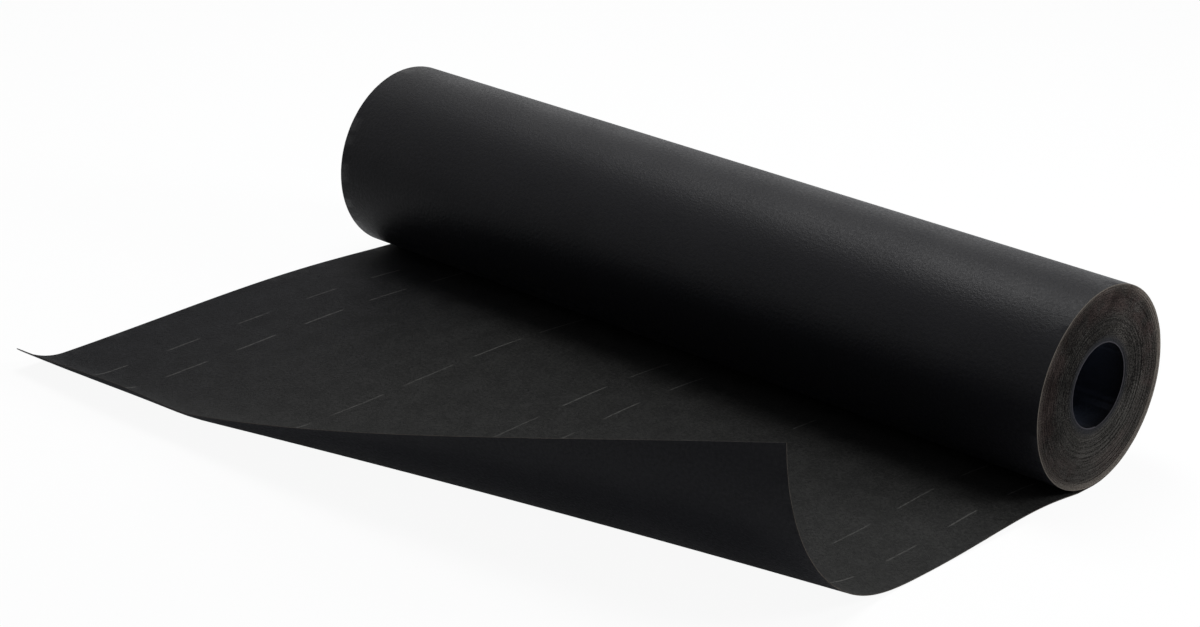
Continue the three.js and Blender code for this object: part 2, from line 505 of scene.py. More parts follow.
felt_mesh = bpy.data.meshes.new("felt_sheet")
felt_mesh.from_pydata([tuple(point) for point in points], [], faces)
felt_mesh.polygons.foreach_set("material_index", finishes)
felt_mesh.polygons.foreach_set("use_smooth", [True] * len(faces))
felt_mesh.set_sharp_from_angle(angle=SHARP_ANGLE)
felt = bpy.data.objects.new("felt_sheet", felt_mesh)
bpy.context.scene.collection.objects.link(felt)
repaired = felt_mesh.validate(verbose=False)

flat = felt_mesh.attributes.new("flat_sheet", "FLOAT_VECTOR", "POINT")
flat.data.foreach_set("vector", [value for place in flat_places for value in place])
print("the mesh needed repair" if repaired else "the mesh is sound")

# %% [markdown]
# ## A square map of what shows
#
# Someone who paints or bakes this sheet needs it laid out on a square. Twenty-four metres of sheet
# won't fit at any useful scale, but nearly all of it is hidden. So what shows gets the room: the outer
# face of the outermost turn with the stretch on the floor, the inner face of that stretch, the two ends
# of the roll as discs, the bore, and a strip for each cut edge. The faces between the turns share one
# small patch.

# %% The islands of the map
OUTER_CORNER = (0.003, 0.003)       # the lower left corner of each island on the square
OUTER_SCALE = 0.6                   # and how much of the square a metre takes
OUTER_BACK = 0.66                   # metres of the outermost turn
INNER_CORNER = (0.56, 0.003)
INNER_SCALE = 0.79
BORE_CORNER = (0.55, 0.76)
BORE_SCALE = 0.44
HIDDEN_CORNER = (0.55, 0.93)
HIDDEN_SCALE = 0.2
HIDDEN_HEIGHT = 0.05


def on_square(corner, right, up, scale, scale_up=None):
    """A place on the square, that far right of an island's corner and up from it."""
    return corner[0] + right * scale, corner[1] + up * (scale_up or scale)


def on_outer(i):
    """The map place of point i as part of the outer face."""
    x, along, _ = flat_places[i]
    return on_square(OUTER_CORNER, x + HALF_WIDTH, along + OUTER_BACK, OUTER_SCALE)


def on_inner(i):
    """Its place as part of the inner face on the floor."""
    x, along, _ = flat_places[i]
    return on_square(INNER_CORNER, along, x + HALF_WIDTH, INNER_SCALE)


def on_bore(i):
    """Its place as part of the innermost turn's inner face."""
    x, along, _ = flat_places[i]
    return on_square(BORE_CORNER, x + HALF_WIDTH, along + length_wound(TURNS), BORE_SCALE)


def on_hidden(i):
    """Its place on the patch that the hidden faces share."""
    x, _, turn = flat_places[i]
    return on_square(HIDDEN_CORNER, x + HALF_WIDTH, turn / TURNS, HIDDEN_SCALE, HIDDEN_HEIGHT)


print("the outer face takes", round((OUTER_BACK + TAIL_LENGTH_NEAR) * OUTER_SCALE, 2), "of the square")

# %% The islands of the ends and edges
NEAR_DISC = (0.125, 0.87)           # the middles of the two discs
FAR_DISC = (0.375, 0.87)
DISC_SCALE = 1.2
NEAR_STRIP = (0.56, 0.731)          # the lower left corners of the strips for the two long edges
FAR_STRIP = (0.56, 0.738)
CUT_STRIP = (0.56, 0.745)           # and for the sheet's outer end and its end in the bore
INNER_STRIP = (0.55, 0.752)
STRIP_SCALE = 0.44
STRIP_HEIGHT = 0.004


def on_disc(i):
    """Its place on one of the roll's two ends."""
    disc = NEAR_DISC if flat_places[i][0] > 0 else FAR_DISC
    return on_square(disc, points[i].y - AXIS_Y, points[i].z - ROLL_RADIUS, DISC_SCALE)


def on_side_strip(i):
    """Its place on the strip of one of the two long edges on the floor."""
    x, along, _ = flat_places[i]
    strip = NEAR_STRIP if x > 0 else FAR_STRIP
    return on_square(strip, along, depth_shares[i], STRIP_SCALE, STRIP_HEIGHT)


def on_end_strip(i):
    """Its place on the strip of a cut across the sheet, at its outer end or in the bore."""
    x, _, turn = flat_places[i]
    strip = INNER_STRIP if turn > 0 else CUT_STRIP
    return on_square(strip, x + HALF_WIDTH, depth_shares[i], STRIP_SCALE, STRIP_HEIGHT)


print("a disc takes", round(2 * ROLL_RADIUS * DISC_SCALE, 2), "of the square")

# %% Lay out the map
TURN_MARGIN = 0.01


def island(number, face, finish):
    """Which of these suits a face."""
    turns = [flat_places[i][2] for i in face]
    if number in cut_faces:
        return on_end_strip
    if finish == OUTER:
        return on_outer if max(turns) <= FINE_TURNS + TURN_MARGIN else on_hidden
    if finish == INNER and max(turns) == 0:
        return on_inner
    if finish == INNER:
        return on_bore if min(turns) >= TURNS - 1 else on_hidden
    return on_disc if max(turns) > 0 else on_side_strip


square_places = []
for number, (face, finish) in enumerate(zip(faces, finishes)):
    place = island(number, face, finish)
    for i in face:
        square_places.extend(place(i))
square_map = felt_mesh.uv_layers.new(name="OFBake")
square_map.data.foreach_set("uv", square_places)
print("the map runs from", round(min(square_places), 3), "to", round(max(square_places), 3))

# %% [markdown]
# ## Helpers for the finishes
#
# A finish is a small machine of nodes: it makes noise, shapes it, and feeds it to the shader's colour,
# gloss and height. Each node takes four lines in full, so these helpers give each common step a short
# name. The noise is measured in millimetres of felt, because that is how one looks at a sample.

# %% Helpers that add nodes
def fill_in(tree, node, inputs):
    """Sets a node's inputs. Each gets a value, or another node's output to join to it."""
    for name, value in inputs.items():
        if isinstance(value, bpy.types.NodeSocket):
            tree.links.new(value, node.inputs[name])
        else:
            node.inputs[name].default_value = value


def add_node(tree, kind, inputs=None, **settings):
    """Adds a shader node with its inputs and settings."""
    made = tree.nodes.new("ShaderNode" + kind)
    for name, value in settings.items():
        setattr(made, name, value)
    fill_in(tree, made, inputs or {})
    return made


def new_finish(name):
    """A material with its node tree and its main shader."""
    material = bpy.data.materials.new(name)
    material.use_nodes = True
    tree = material.node_tree
    return material, tree, tree.nodes["Principled BSDF"]


def name_helpers(*helpers):
    """Prints what the helpers are called."""
    print("helpers:", ", ".join(helper.__name__ for helper in helpers))


name_helpers(fill_in, add_node, new_finish)

# %% Helpers that place a pattern
MM = 0.001


def flat_place(tree):
    """The place on the flat sheet: x across it, y along it, z the turn."""
    return add_node(tree, "Attribute", attribute_name="flat_sheet").outputs["Vector"]


def vector_maths(tree, operation, first, second=(0, 0, 0)):
    """One sum on two places or colours."""
    return add_node(tree, "VectorMath", {0: first, 1: second}, operation=operation).outputs["Vector"]


def in_cells(tree, place, across_mm, along_mm, skew=0.0):
    """Divides the flat sheet into cells of that size. skew first turns the pattern on the sheet."""
    if skew:
        turned = {"Vector": place, "Angle": skew}
        place = add_node(tree, "VectorRotate", turned, rotation_type="Z_AXIS").outputs[0]
    return vector_maths(tree, "MULTIPLY", place, (1 / (across_mm * MM), 1 / (along_mm * MM), 0))


def cloudy(tree, place, detail=3.0, roughness=0.55):
    """Soft noise from 0 to 1, one lump to each cell."""
    settings = {"Vector": place, "Scale": 1.0, "Detail": detail, "Roughness": roughness}
    return add_node(tree, "TexNoise", settings).outputs["Fac"]


name_helpers(flat_place, vector_maths, in_cells, cloudy)

# %% Helpers that shape and mix
def spread(tree, value, low, high, to_low=0.0, to_high=1.0, smooth=False):
    """Stretches the range low to high onto another, and holds it there beyond both ends."""
    ranges = {"Value": value, "From Min": low, "From Max": high, "To Min": to_low, "To Max": to_high}
    kind = "SMOOTHSTEP" if smooth else "LINEAR"
    return add_node(tree, "MapRange", ranges, interpolation_type=kind).outputs["Result"]


def maths(tree, operation, first, second=0.0, third=0.0):
    """One sum on up to three values."""
    return add_node(tree, "Math", {0: first, 1: second, 2: third}, operation=operation).outputs[0]


def product(tree, first, *others):
    """All the values multiplied."""
    for other in others:
        first = maths(tree, "MULTIPLY", first, other)
    return first


def weighted(tree, first, share, second):
    """share of the first value and the rest of the second."""
    rest = maths(tree, "MULTIPLY", second, 1 - share)
    return maths(tree, "MULTIPLY_ADD", first, share, rest)


def mixed(tree, share, first, second):
    """A colour between two. The Mix node keeps its colours in its sockets 6 and 7."""
    return add_node(tree, "Mix", {0: share, 6: first, 7: second}, data_type="RGBA").outputs[2]


def times(tree, vector, factor):
    """A colour or a place, times a factor."""
    return add_node(tree, "VectorMath", {0: vector, "Scale": factor}, operation="SCALE").outputs[0]


name_helpers(spread, maths, product, weighted, mixed, times)

# %% Helpers that feed the shader
def surfaced(tree, shader, colour, roughness, sheen):
    """Gives the shader its colour, its roughness and how much it mirrors."""
    fill_in(tree, shader, {"Base Color": colour, "Roughness": roughness, "Specular IOR Level": sheen})


def raised(tree, shader, height, depth_mm):
    """Gives the shader a relief of that depth."""
    bump = add_node(tree, "Bump", {"Strength": 1.0, "Distance": depth_mm * MM, "Height": height})
    fill_in(tree, shader, {"Normal": bump.outputs["Normal"]})


name_helpers(surfaced, raised)

# %% [markdown]
# ## The outer face
#
# Bitumen soaks right through the board and dries on its outer face as a thin skin, black with a cool cast
# and a dull satin gloss. Its colour is almost the same all over. What one sees is the gloss catching soft
# pebbles two to five millimetres across, where the board below is uneven, and a finer tooth between them.
# So the colour stays nearly flat here, but for a painted shade that darkens the far end, and the relief
# and the gloss do the work.

# %% The outer face
OUTER_DEEP = (0.0068, 0.0068, 0.0082, 1)
OUTER_PALE = (0.0122, 0.0121, 0.0138, 1)
OUTER_SHEEN = 0.08              # bitumen that has sunk in reflects less than a film of paint
OUTER_SMOOTH = 0.32             # roughness where the skin is thickest
OUTER_DULL = 0.46               # and where it has sunk in
MOST_OF_NOISE = (0.40, 0.60)    # nearly all of a noise lies between these two
CRISP = 0.7                     # the roughness of a noise whose grains stand out
SKIN_CLOUD_MM = (90, 110)       # each pattern's cells, across the sheet and along it
PEBBLE_MM = (3.4, 3.4)
TOOTH_MM = (1.1, 1.3)
SKIN_CLOUD_SHARE = 0.3          # of the skin's thickness, and the rest follows the pebbles
PEBBLE_SHARE = 0.75             # of the relief, and the rest is tooth
PEBBLE_DEPTH_MM = 0.60
FAR_END_PAINTED_SHADE = 0.78           # painted shade that darkens the far end
FAR_END_SHADE_UP_TO = -0.05         # how far across the sheet the painted shade reaches

outer_finish, tree, shader = new_finish("felt_outer_face")
place = flat_place(tree)
clouds = cloudy(tree, in_cells(tree, place, *SKIN_CLOUD_MM))
pebbles = cloudy(tree, in_cells(tree, place, *PEBBLE_MM), roughness=CRISP)
tooth = cloudy(tree, in_cells(tree, place, *TOOTH_MM), detail=2)
skin = weighted(tree, clouds, SKIN_CLOUD_SHARE, pebbles)
colour = mixed(tree, spread(tree, skin, *MOST_OF_NOISE), OUTER_DEEP, OUTER_PALE)
across = add_node(tree, "SeparateXYZ", {0: place}).outputs["X"]
# painted shade: the colour darkens towards the far end
far_end_painted_shade = spread(tree, across, -HALF_WIDTH, FAR_END_SHADE_UP_TO, FAR_END_PAINTED_SHADE, 1)
colour = times(tree, colour, far_end_painted_shade)
roughness = spread(tree, skin, *MOST_OF_NOISE, OUTER_DULL, OUTER_SMOOTH)
surfaced(tree, shader, colour, roughness, OUTER_SHEEN)
raised(tree, shader, weighted(tree, pebbles, PEBBLE_SHARE, tooth), PEBBLE_DEPTH_MM)
felt_mesh.materials.append(outer_finish)
print("outer face:", len(tree.nodes), "nodes")

# %% [markdown]
# ## A lay line, made once and used for each lane
#
# Felt carries broken pale lines along its inner face, printed by small wheels, so that a roofer can lap
# the next sheet by eye. Each lane is a row of thin, worn dashes, a finger long with a short gap. One node
# group draws one lane: how near the lane's middle a place lies, whether it is in a dash or in a gap, and
# how much ink the felt has kept there. The lanes then differ only in where they lie, where their dashes
# start, and how long and how far apart those are.

# %% The lay line group
DASH_TAPER = 0.25               # share of a dash's half length over which it thins out
LINE_WIDTH = 0.0022
LINE_WANDER = 0.0012            # how far to either side a line strays
WANDER_MM = (400, 60)
WORST_DASH = 0.65               # the ink left on the worst printed dash, against the best
WEAR_MM = (1.5, 9)
WEAR_RANGE = (0.38, 0.56)       # the part of that noise that makes the wear
WORN_INK = 0.25                 # the ink left where a dash is most worn
LANE_NUMBERS = ("Lane", "First Dash", "Dash Length", "Dash Pitch")

lay_line = bpy.data.node_groups.new("lay_line", "ShaderNodeTree")
lay_line.interface.new_socket("Place", in_out="INPUT", socket_type="NodeSocketVector")
for name in LANE_NUMBERS:
    lay_line.interface.new_socket(name, in_out="INPUT", socket_type="NodeSocketFloat")
lay_line.interface.new_socket("Ink", in_out="OUTPUT", socket_type="NodeSocketFloat")
tree = lay_line
given = tree.nodes.new("NodeGroupInput").outputs
axes = add_node(tree, "SeparateXYZ", {0: given["Place"]}).outputs

wander = cloudy(tree, in_cells(tree, given["Place"], *WANDER_MM), detail=2)
wander = spread(tree, wander, 0, 1, -LINE_WANDER, LINE_WANDER)
off_lane = maths(tree, "SUBTRACT", maths(tree, "ADD", axes["X"], wander), given["Lane"])
from_lane = maths(tree, "ABSOLUTE", off_lane)
stroke = spread(tree, from_lane, LINE_WIDTH / 4, LINE_WIDTH / 2, 1, 0, smooth=True)

from_first = maths(tree, "SUBTRACT", axes["Y"], given["First Dash"])
dashes = maths(tree, "DIVIDE", from_first, given["Dash Pitch"])
past_start = product(tree, maths(tree, "FRACT", dashes), given["Dash Pitch"])
share_past = maths(tree, "DIVIDE", past_start, given["Dash Length"])
from_middle = maths(tree, "ABSOLUTE", maths(tree, "MULTIPLY_ADD", share_past, 2.0, -1.0))
dash = spread(tree, from_middle, 1 - DASH_TAPER, 1, 1, 0, smooth=True)

which = {"X": given["Lane"], "Y": maths(tree, "FLOOR", dashes)}
which_dash = add_node(tree, "CombineXYZ", which).outputs[0]
luck = add_node(tree, "TexWhiteNoise", {"Vector": which_dash}).outputs["Value"]
printed = spread(tree, luck, 0, 1, WORST_DASH, 1)
wear = cloudy(tree, in_cells(tree, given["Place"], *WEAR_MM), roughness=CRISP)
kept = spread(tree, wear, *WEAR_RANGE, WORN_INK, 1)
ink = product(tree, dash, stroke, kept, printed)
fill_in(tree, tree.nodes.new("NodeGroupOutput"), {"Ink": ink})
print("lay line:", len(tree.nodes), "nodes for any number of lanes")

# %% [markdown]
# ## The inner face
#
# The inner face was never pressed against a hot drum. It is dry and matt, a neutral black that is a little
# greyer than the outer face, with a fine mottle and short dark fibres that lie every way. Three layers of
# stretched noise, each turned on the sheet and cut off high, leave only thin dark flecks and look like
# fibre.

# %% The inner face: mottle and fibres
INNER_DEEP = (0.0090, 0.0091, 0.0088, 1)
INNER_PALE = (0.0198, 0.0198, 0.0191, 1)
INNER_RANGE = (0.42, 0.58)      # the part of the noise that runs from deep to pale
INNER_CLOUD_MM = (24, 30)
INNER_CLOUD_SHARE = 0.35        # of the tone, and the rest follows the mottle
MOTTLE_MM = (3.0, 3.4)
FIBRE_BLACK = (0.0060, 0.0060, 0.0062, 1)
FIBRE_MM = (9, 0.8)
FIBRE_RANGE = (0.60, 0.68)      # only the top of the noise makes a fibre
FIBRE_SKEWS = (0.35, 1.35, 2.5)

inner_finish, tree, shader = new_finish("felt_inner_face")
place = flat_place(tree)
clouds = cloudy(tree, in_cells(tree, place, *INNER_CLOUD_MM), detail=4, roughness=0.6)
mottle = cloudy(tree, in_cells(tree, place, *MOTTLE_MM), roughness=CRISP)
body = spread(tree, weighted(tree, clouds, INNER_CLOUD_SHARE, mottle), *INNER_RANGE)
colour = mixed(tree, body, INNER_DEEP, INNER_PALE)

fibres = None
for skew in FIBRE_SKEWS:
    hairs = cloudy(tree, in_cells(tree, place, *FIBRE_MM, skew), detail=1, roughness=0.5)
    hairs = spread(tree, hairs, *FIBRE_RANGE)
    fibres = hairs if fibres is None else maths(tree, "MAXIMUM", fibres, hairs)
colour = mixed(tree, fibres, colour, FIBRE_BLACK)
print("fibres lie in", len(FIBRE_SKEWS), "directions")

# %% [markdown]
# ## Its lay lines
#
# Eight lanes run along the sheet, in pairs and singles, a few hands apart. Each was printed by a wheel of
# its own, so each has its own beat. A lane is one node of the group above with four numbers set on it.
# Where no lane lies every output is zero, so the ink on the felt is the largest of them all.

# %% The lay lines
LINE_INK = (0.078, 0.077, 0.073, 1)
LANES = {                       # across the sheet: first dash's start, dash length, dash pitch
    -0.3865: (0.0765, 0.047, 0.0940),
    -0.337: (0.0215, 0.060, 0.0920),
    -0.153: (0.0305, 0.077, 0.0970),
    -0.007: (0.0610, 0.070, 0.0965),
    0.042: (0.0685, 0.058, 0.0945),
    0.187: (0.0700, 0.040, 0.0960),
    0.364: (0.0200, 0.060, 0.0960),
    0.419: (0.0345, 0.049, 0.0900),
}

inked = None
for lane, dashes in LANES.items():
    numbers = dict(zip(LANE_NUMBERS, (lane, *dashes)))
    ink = add_node(tree, "Group", {"Place": place, **numbers}, node_tree=lay_line).outputs["Ink"]
    inked = ink if inked is None else maths(tree, "MAXIMUM", inked, ink)
print(len(LANES), "lanes")

# %% [markdown]
# ## Its painted light and shade, and the bore
#
# The far side gets a deeper, cooler painted shade, which multiplies what is there. The loose end gets
# painted light, most of all at its near corner. This light is added, and the mottle under it grows no
# stronger. The ink of the lay lines is as pale everywhere and goes on after both. The bore is painted in an
# even, bluish shade, darkest at the two mouths and paler deeper in, so that it looks evenly shaded.

# %% The inner face: painted light and shade, and the bore
WHITE = (1, 1, 1, 1)
FAR_SIDE_PAINTED_SHADE = (0.50, 0.51, 0.60, 1)      # the far side's painted shade: darker and cooler
FAR_SIDE_SHADE_UP_TO = -0.15                     # how far across the sheet the painted shade reaches
NEAR_CORNER_PAINTED_LIGHT = (0.0100, 0.0100, 0.0097)         # painted light added at the loose near corner
PAINTED_LIGHT_FROM_ACROSS = -0.30                # from there to the near edge the painted light grows
PAINTED_LIGHT_ALONG = (0.08, 0.22)               # and between these two, from the roll to the loose end
BORE_PAINTED_SHADE = (0.0140, 0.0170, 0.0255)
BORE_TURNS = (TURNS - 1.4, TURNS - 1.2)
MOUTH_SHADE_LENGTH = 0.06                   # how far in from a mouth the painted shade reaches
DEEP_BORE_PAINTED_LIGHT = 2.3                         # painted light: the bore's tone past the mouths
MOUTH_PAINTED_SHADE = 0.05                       # painted shade: the tone right at a mouth
INNER_SHEEN = 0.04
INNER_ROUGHNESS = 0.65
MOTTLE_SHARE = 0.7                      # of the relief, and the rest is fibres
MOTTLE_DEPTH_MM = 0.60

axes = add_node(tree, "SeparateXYZ", {0: place}).outputs
# painted shade: the far side is darker and cooler
far_side_shade_fade = spread(tree, axes["X"], -HALF_WIDTH, FAR_SIDE_SHADE_UP_TO)
tone = mixed(tree, far_side_shade_fade, FAR_SIDE_PAINTED_SHADE, WHITE)
colour = vector_maths(tree, "MULTIPLY", colour, tone)
# painted light: the loose end is lighter, most of all at its near corner
near_side = spread(tree, axes["X"], PAINTED_LIGHT_FROM_ACROSS, HALF_WIDTH)
loose_end = spread(tree, axes["Y"], *PAINTED_LIGHT_ALONG, smooth=True)
near_corner_light = times(tree, NEAR_CORNER_PAINTED_LIGHT, product(tree, near_side, loose_end))
colour = vector_maths(tree, "ADD", colour, near_corner_light)
colour = mixed(tree, inked, colour, LINE_INK)

# the bore is painted navy as shade, darkest at the two mouths and lighter deeper in
off_middle = maths(tree, "ABSOLUTE", axes["X"])
bore_light_and_shade = spread(tree, off_middle, HALF_WIDTH - MOUTH_SHADE_LENGTH, HALF_WIDTH, DEEP_BORE_PAINTED_LIGHT, MOUTH_PAINTED_SHADE)
in_bore = spread(tree, axes["Z"], *BORE_TURNS)
colour = mixed(tree, in_bore, colour, times(tree, BORE_PAINTED_SHADE, bore_light_and_shade))
surfaced(tree, shader, colour, INNER_ROUGHNESS, INNER_SHEEN)
raised(tree, shader, weighted(tree, mottle, MOTTLE_SHARE, fibres), MOTTLE_DEPTH_MM)
felt_mesh.materials.append(inner_finish)
print("inner face:", len(tree.nodes), "nodes")

# %% [markdown]
# ## The cut edges and the roll's ends
#
# A knife cuts through board that bitumen didn't darken to the core, so the ends of the roll show brownish
# fibre, one thin arc to each turn. Every turn was cut at another moment, so each has a tone of its own,
# which drifts slowly along it. The tone follows the length of the sheet and the turn number, which is why
# the mesh carries that as the third number of its flat place. Stains and patches got onto the finished
# roll. They cross the turns, so they follow the place in the room.

# %% The cut edge: arcs, bands and fibre
EDGE_DEEP = (0.0135, 0.0129, 0.0120, 1)
EDGE_PALE = (0.0390, 0.0372, 0.0342, 1)
WHOLE_WIDTH_MM = 1e6            # so wide a cell doesn't change across the sheet
ARC_MM = 46
BANDS_PER_TURN = 0.45
FIBRES_PER_METRE = 700
ARC_SHARE = 0.6                 # of the pattern of turns, and the rest is bands
TURNS_SHARE = 0.55              # of the tone, and the rest is fibre
EDGE_RANGE = (0.44, 0.56)       # the part of the tone that runs from deep to pale

edge_finish, tree, shader = new_finish("felt_cut_edge")
place = flat_place(tree)
turn = add_node(tree, "SeparateXYZ", {0: place}).outputs["Z"]
room = add_node(tree, "TexCoord").outputs["Object"]

arcs = cloudy(tree, in_cells(tree, place, WHOLE_WIDTH_MM, ARC_MM), roughness=0.6)
banding = {"W": turn, "Scale": BANDS_PER_TURN, "Detail": 2.0}
bands = add_node(tree, "TexNoise", banding, noise_dimensions="1D").outputs["Fac"]
fibre = cloudy(tree, times(tree, room, FIBRES_PER_METRE), detail=2)
tone = weighted(tree, weighted(tree, arcs, ARC_SHARE, bands), TURNS_SHARE, fibre)
colour = mixed(tree, spread(tree, tone, *EDGE_RANGE), EDGE_DEEP, EDGE_PALE)
print("an arc keeps its tone for about", ARC_MM, "mm")

# %% The cut edge: rust, patches and grain
EDGE_RUST = (0.0390, 0.0270, 0.0248, 1)
STAINS_PER_METRE = 34
STAIN_RANGE = (0.42, 0.56)
RUST_LEAST = 0.15               # how much of the rust's colour a clean spot takes
RUST_MOST = 0.65                # and a stained one
RUSTY_TURNS = 18                # the outer turns are rustier than the rest
RUST_FADE_TURNS = 14
RUST_INSIDE = 0.1               # what is left of the rust past those
PATCHES_PER_METRE = 26
PATCH_TONES = (0.68, 1.36)
GRAIN_RANGE = (0.36, 0.64)
GRAIN_TONES = (0.4, 1.6)

stains = cloudy(tree, times(tree, room, STAINS_PER_METRE))
stained = spread(tree, stains, *STAIN_RANGE, RUST_LEAST, RUST_MOST)
fade_end = RUSTY_TURNS + RUST_FADE_TURNS
outer_half = spread(tree, turn, RUSTY_TURNS, fade_end, 1, RUST_INSIDE, smooth=True)
colour = mixed(tree, product(tree, stained, outer_half), colour, EDGE_RUST)

patches = cloudy(tree, times(tree, room, PATCHES_PER_METRE), detail=4, roughness=0.65)
patchy = spread(tree, patches, *MOST_OF_NOISE, *PATCH_TONES)
grainy = spread(tree, fibre, *GRAIN_RANGE, *GRAIN_TONES)
colour = times(tree, colour, product(tree, patchy, grainy))
print("rust fades out over turns", RUSTY_TURNS, "to", fade_end)

# %% [markdown]
# ## What handling did to the ends
#
# The front of each end is painted darker, as shade. The bottom is painted paler, as light from the floor
# below, and the outermost turns get a pale painted highlight, most of all at the back and below. A
# direction
# square to the axis picks each side: how near a place lies to it, seen from the axis, is one dot product.
# The edge on the floor gets neither the painted light from below nor the painted highlight.

# %% The cut edge: painted shade, painted light from below and a painted highlight
EDGE_PAINTED_LOW_LIGHT = (0.0630, 0.0607, 0.0562, 1)
EDGE_PAINTED_HIGHLIGHT = (0.2100, 0.1850, 0.1600, 1)
SHADE_DIRECTION = (0, -0.89, 0.45)   # to the front and a little up
SHADE_SPAN = (-0.1, 0.9)             # from no painted shade to full painted shade
PAINTED_SHADE_TONE = 0.60
LOW_LIGHT_DIRECTION = (0, 0.14, -0.99)   # down
LOW_LIGHT_SPAN = (0.2, 1)
LOW_LIGHT_SHARE = 0.6
LOW_LIGHT_STREAKS = (0.40, 0.56)         # the painted light from below shows more on the turns that are pale already
HIGHLIGHT_DIRECTION = (0, 0.87, -0.50)    # back and down
HIGHLIGHT_SPAN = (-0.35, 0.5)
HIGHLIGHT_LEAST = 0.22
HIGHLIGHT_MOST = 0.9
HIGHLIGHT_TURNS = 10
HIGHLIGHT_STREAKS = (0.42, 0.58)
HIGHLIGHT_ON_DEEP_TURN = 0.35                       # what the painted highlight does to a deep turn, against a pale one
ROLL_BEGINS = (0, 0.04)             # the first bit of the outermost turn, just off the floor


def towards(tree, place, direction):
    """1 on that side of the roll's axis, -1 on the other side, and 0 halfway between them."""
    from_middle = vector_maths(tree, "SUBTRACT", place, (0, AXIS_Y, ROLL_RADIUS))
    from_axis = vector_maths(tree, "MULTIPLY", from_middle, (0, 1, 1))
    outwards = vector_maths(tree, "NORMALIZE", from_axis)
    likeness = add_node(tree, "VectorMath", {0: outwards, 1: direction}, operation="DOT_PRODUCT")
    return likeness.outputs["Value"]


# painted shade: the front of each end is darker
to_front = towards(tree, room, SHADE_DIRECTION)
colour = times(tree, colour, spread(tree, to_front, *SHADE_SPAN, 1, PAINTED_SHADE_TONE, smooth=True))

on_roll = spread(tree, turn, *ROLL_BEGINS)
# painted light from below: the bottom of each end is paler
downwards = towards(tree, room, LOW_LIGHT_DIRECTION)
low_side = spread(tree, downwards, *LOW_LIGHT_SPAN, 0, LOW_LIGHT_SHARE, smooth=True)
streaks = product(tree, spread(tree, tone, *LOW_LIGHT_STREAKS), on_roll)
colour = mixed(tree, product(tree, low_side, streaks), colour, EDGE_PAINTED_LOW_LIGHT)

# painted highlight: the outer turns are paler at the back and below
backwards = towards(tree, room, HIGHLIGHT_DIRECTION)
back_side = spread(tree, backwards, *HIGHLIGHT_SPAN, HIGHLIGHT_LEAST, HIGHLIGHT_MOST, smooth=True)
outer_turns = product(tree, spread(tree, turn, 0, HIGHLIGHT_TURNS, 1, 0, smooth=True), on_roll)
pale_turns = spread(tree, tone, *HIGHLIGHT_STREAKS, HIGHLIGHT_ON_DEEP_TURN)
colour = mixed(tree, product(tree, back_side, outer_turns, pale_turns), colour, EDGE_PAINTED_HIGHLIGHT)
print("the outer", HIGHLIGHT_TURNS, "turns are highlighted")

# %% [markdown]
# ## The rim, and the turns round the bore
#
# The outermost turn stands free on the rim and has the palest edge. The last turns round the bore are
# cooler, with a pale lip on the innermost one. On the floor the edge hasn't been knocked about, so there
# it stays nearly as it was cut.

# %% The cut edge: rim, lip and gloss
EDGE_RIM = (0.1350, 0.1215, 0.1050, 1)
RIM_ON_FLOOR = 0.3                  # how much of the rim's colour the edge takes on the floor
RIM_ON_ROLL = 0.8                   # and on the outermost turn
RIM_ENDS = (0.7, 1.2)               # the turns over which that fades
EDGE_COOL = (0.0225, 0.0237, 0.0277, 1)
COOL_TURNS = 9
COOL_SHARE = 0.85
EDGE_LIP = (0.0520, 0.0500, 0.0570, 1)
LIP_BEGINS = (TURNS - 1.1, TURNS - 0.9)
EDGE_ROUGHNESS = 0.85
EDGE_SHEEN = 0.02
EDGE_ARC_SHARE = 0.5                # of the relief, and the rest is fibre
EDGE_DEPTH_MM = 0.2

off_floor = spread(tree, turn, *ROLL_BEGINS, RIM_ON_FLOOR, RIM_ON_ROLL)
off_rim = spread(tree, turn, *RIM_ENDS, RIM_ON_ROLL, 0)
colour = mixed(tree, maths(tree, "MINIMUM", off_floor, off_rim), colour, EDGE_RIM)
cool = spread(tree, turn, TURNS - COOL_TURNS, TURNS, 0, COOL_SHARE, smooth=True)
colour = mixed(tree, cool, colour, EDGE_COOL)
colour = mixed(tree, spread(tree, turn, *LIP_BEGINS), colour, EDGE_LIP)
surfaced(tree, shader, colour, EDGE_ROUGHNESS, EDGE_SHEEN)
raised(tree, shader, weighted(tree, arcs, EDGE_ARC_SHARE, fibre), EDGE_DEPTH_MM)
felt_mesh.materials.append(edge_finish)
print("cut edge:", len(tree.nodes), "nodes")

# %% [markdown]
# ## Tie the sheet to the frame
#
# The roll is one piece of stock with nothing that moves, so its one mesh rides on the root body. It stands
# in for the plain solid.

# %% Tie the sheet to the frame
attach(felt, "root")
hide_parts("felt_roll")
print(felt.name, "rides on root, with", len(felt_mesh.materials), "finishes")

# %% [markdown]
# ## The background
#
# A studio lays out white paper and lights it until it shows no tone. Here the paper and the sky are white
# only to what looks straight at them, or by a mirror or through glass. To the felt itself the sky gives a
# seventh of that light, a little blue, so the shaded parts stay dark.

# %% The sky
SKY_FILL = 0.14
SKY_TINT = (0.80, 0.87, 1.0, 1)

scene = bpy.context.scene
scene.view_settings.view_transform = "Standard"


def rays(tree):
    """1 for a ray from the camera, and 1 for one that a mirror or glass has sent on."""
    path = add_node(tree, "LightPath").outputs
    return path["Is Camera Ray"], maths(tree, "MAXIMUM", path["Is Glossy Ray"], path["Is Transmission Ray"])


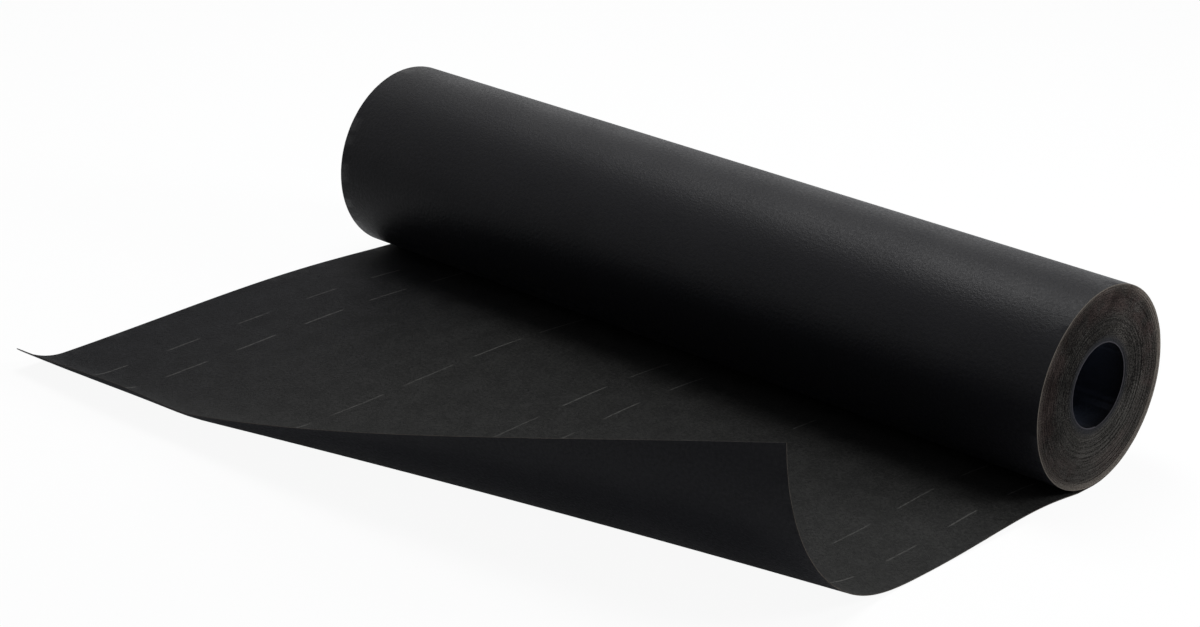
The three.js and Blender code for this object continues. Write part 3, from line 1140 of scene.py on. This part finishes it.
world = bpy.data.worlds.new("studio")
scene.world = world
world.use_nodes = True
tree = world.node_tree
tree.nodes.clear()
seen = maths(tree, "MAXIMUM", *rays(tree))
sky = add_node(tree, "Background", {"Color": SKY_TINT, "Strength": SKY_FILL})
white = add_node(tree, "Background", {"Color": WHITE, "Strength": 1.0})
blend = add_node(tree, "MixShader", {0: seen, 1: sky.outputs[0], 2: white.outputs[0]})
add_node(tree, "OutputWorld", {"Surface": blend.outputs[0]})
print("sky: fills with", SKY_FILL, "of its white")

# %% [markdown]
# ## The floor
#
# The paper is treated as the sky is, but it keeps a share of its real shading, and with it the roll's soft
# shadow. Seen in the felt's own gloss it keeps nearly all of it, because the paper close to a black roll
# lies in its shade, and a mirror must show that. It lies a hair below the felt, so that the two don't
# flicker where they touch.

# %% The floor
PAPER_WHITE = (0.94, 0.94, 0.94, 1)
PAPER_ROUGHNESS = 0.9
PAPER_GLOW = 0.93               # how much of the paper is plain white to the camera
PAPER_GLOW_MIRRORED = 0.06      # and in a mirror
FLOOR_HALF = 25.0
FLOOR_DROP = 0.0004

corners = [(x * FLOOR_HALF, y * FLOOR_HALF, 0) for x, y in ((-1, -1), (1, -1), (1, 1), (-1, 1))]
floor_mesh = bpy.data.meshes.new("floor")
floor_mesh.from_pydata(corners, [], [(0, 1, 2, 3)])
floor = bpy.data.objects.new("floor", floor_mesh)
floor.location.z = -FLOOR_DROP
scene.collection.objects.link(floor)

floor_finish, tree, shader = new_finish("floor_paper")
surfaced(tree, shader, PAPER_WHITE, PAPER_ROUGHNESS, 0.0)
glow = add_node(tree, "Emission", {"Color": WHITE, "Strength": 1.0})
straight, mirrored = rays(tree)
mirrored_share = product(tree, mirrored, PAPER_GLOW_MIRRORED)
share = maths(tree, "MAXIMUM", product(tree, straight, PAPER_GLOW), mirrored_share)
blend = add_node(tree, "MixShader", {0: share, 1: shader.outputs[0], 2: glow.outputs[0]})
fill_in(tree, tree.nodes["Material Output"], {"Surface": blend.outputs[0]})
floor_mesh.materials.append(floor_finish)
print("floor:", 2 * FLOOR_HALF, "m across")

# %% [markdown]
# ## The lamps
#
# Black goods are lit by what they mirror, so the lamps are placed by where the roll mirrors them. A long
# soft box hangs high over the far end and runs from front to back: the roll's shoulder mirrors it as a
# broad, even highlight that ends softly a third of the way down. A second one stands low behind the near
# end. It lights the end of the roll and the inside of the curl, and leaves the roll's shade on the sheet in
# front. Together they are just strong enough to show a level sheet of white paper as full white, so a
# colour comes out about as written.

# %% The lamps
LAMP_TARGET = (0.0, 0.1, 0.1)
TOP_PLACE = (-0.5, 0.42, 2.3)
TOP_SIZE = (1.0, 1.7)
TOP_WATTS = 43
END_PLACE = (1.9, 1.3, 1.1)
END_SIZE = (0.8, 0.8)
END_WATTS = 36


def soft_box(name, place, size, watts):
    """A rectangular lamp that faces the roll."""
    data = bpy.data.lights.new(name, "AREA")
    data.shape = "RECTANGLE"
    data.size, data.size_y = size
    data.energy = watts
    lamp = bpy.data.objects.new(name, data)
    lamp.location = place
    lamp.rotation_euler = (Vector(LAMP_TARGET) - Vector(place)).to_track_quat("-Z", "Y").to_euler()
    scene.collection.objects.link(lamp)


soft_box("top_light", TOP_PLACE, TOP_SIZE, TOP_WATTS)
soft_box("end_light", END_PLACE, END_SIZE, END_WATTS)
print("lamps:", TOP_WATTS + END_WATTS, "W in all")
